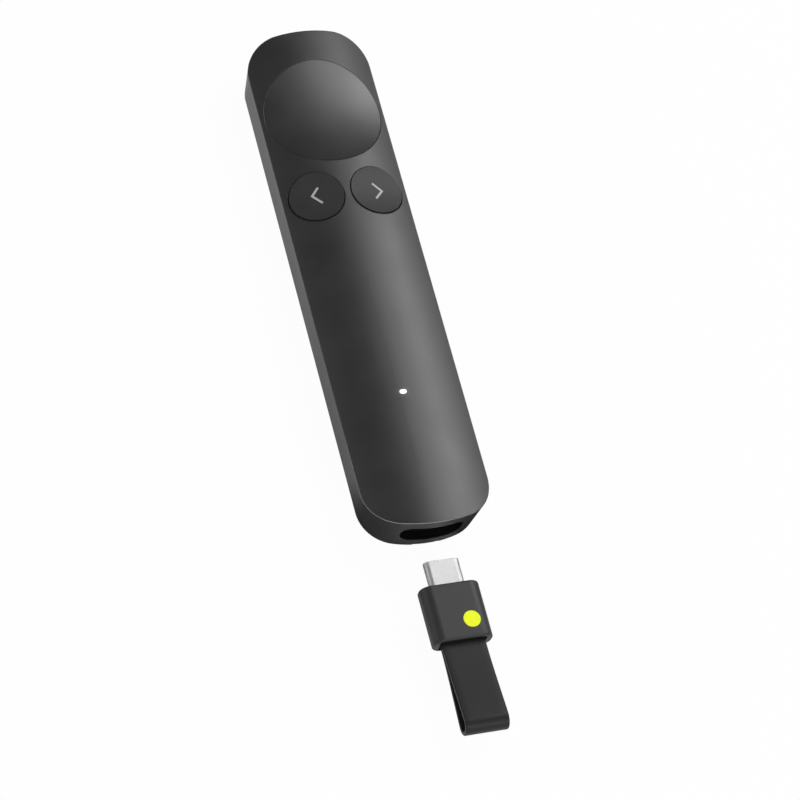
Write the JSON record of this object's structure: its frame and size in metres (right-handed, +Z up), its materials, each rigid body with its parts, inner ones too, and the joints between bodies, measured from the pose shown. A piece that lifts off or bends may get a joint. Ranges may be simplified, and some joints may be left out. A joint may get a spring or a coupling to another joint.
{
  "type": "wireless presentation clicker",
  "caption": "Slim handheld clicker with a dished round pointer pad, small round buttons, a status light and a plug-in receiver on a strap loop that slides out of its end.",
  "frame": {"origin": "middle of the handset's flat underside, half way along and half way across it", "axes": "+Z up out of the buttons, +Y along the handset towards the pointer end, -Y towards the slot that the receiver slides out of, +X to the right of someone holding it with the pointer end away"},
  "size_m": [0.03, 0.1787, 0.0143],
  "materials": {
    "housing_plastic": "satin, fine-grained dark graphite",
    "base_plastic": "satin dark graphite",
    "cap_plastic": "satin dark graphite",
    "inner_plastic": "matte black",
    "light_plastic": "matte off-white",
    "board": "solder mask",
    "chip": "matte black",
    "plug_steel": "satin nickel plate",
    "small_steel": "zinc plate",
    "contact": "gold plate",
    "lens": "translucent white",
    "battery_foil": "satin foil",
    "tape": "adhesive foam",
    "lead": "insulated wire",
    "receiver_plastic": "satin dark graphite",
    "strap_rubber": "soft-touch dark grey"
  },
  "bodies": {
    "handset": {"housing": "housing_plastic", "base_cover": "base_plastic", "dock_sleeve": "inner_plastic", "button_frame": "inner_plastic", "main_board": "board", "pad_switch": "chip", "back_switch": "chip", "next_switch": "chip", "status_lens": "lens", "status_led": "light_plastic", "radio_chip": "chip", "receptacle_shell": "plug_steel", "receptacle_tongue": "inner_plastic", "receptacle_contacts": "contact", "battery": "battery_foil", "battery_tape": "tape", "battery_leads": "lead", "battery_socket": "light_plastic", "haptic_motor": "small_steel", "board_screws": "small_steel"},
    "pad": {"pointer_pad": "cap_plastic", "pad_plunger": "light_plastic"},
    "back": {"back_button": "cap_plastic", "back_plunger": "light_plastic"},
    "next": {"next_button": "cap_plastic", "next_plunger": "light_plastic"},
    "receiver": {"receiver_shell": "receiver_plastic", "receiver_nose": "receiver_plastic", "plug_shell": "plug_steel", "plug_core": "inner_plastic", "plug_contacts": "contact", "receiver_board": "board", "receiver_chip": "chip", "strap": "strap_rubber", "strap_pin": "small_steel"}
  },
  "joints": [
    {"name": "pad_press", "type": "slide", "parent": "handset", "child": "pad", "axis": [0, 0, -1], "range_m": [0, 0.00035], "stiffness_N_per_m": 4500, "springref_m": -0.00015},
    {"name": "back_press", "type": "slide", "parent": "handset", "child": "back", "axis": [0, 0, -1], "range_m": [0, 0.00035], "stiffness_N_per_m": 4500, "springref_m": -0.00015},
    {"name": "next_press", "type": "slide", "parent": "handset", "child": "next", "axis": [0, 0, -1], "range_m": [0, 0.00035], "stiffness_N_per_m": 4500, "springref_m": -0.00015},
    {"name": "receiver_slide", "type": "slide", "parent": "handset", "child": "receiver", "axis": [0, 1, 0], "range_m": [0, 0.0274]}
  ]
}
